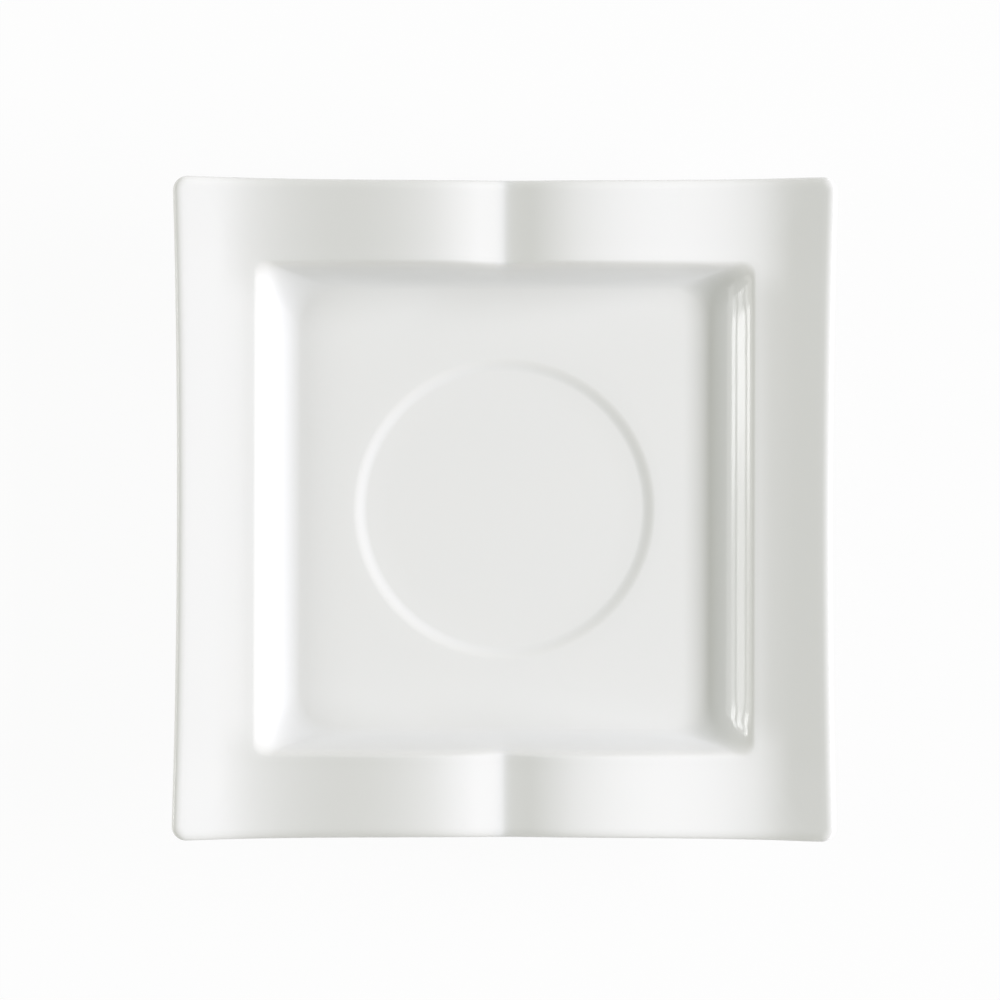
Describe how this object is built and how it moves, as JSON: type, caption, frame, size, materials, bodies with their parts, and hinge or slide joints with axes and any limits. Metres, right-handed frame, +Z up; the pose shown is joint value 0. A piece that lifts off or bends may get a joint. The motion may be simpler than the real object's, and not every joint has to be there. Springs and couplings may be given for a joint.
{
  "type": "square saucer",
  "caption": "Square white porcelain saucer with a waved rim, a square well and a shallow round seat for a cup, standing on a low bare foot ring.",
  "frame": {"origin": "middle of the face that the saucer stands on", "axes": "+X across the crease of the rim, +Y along the crease, +Z up out of the well"},
  "size_m": [0.1526, 0.1528, 0.0187],
  "materials": {
    "glazed_porcelain": "clear glossy glaze over white porcelain",
    "bare_porcelain": "unglazed, wiped and polished standing edge"
  },
  "bodies": {
    "root": {"saucer_body": "glazed_porcelain", "foot_ring": "bare_porcelain"}
  },
  "joints": []
}
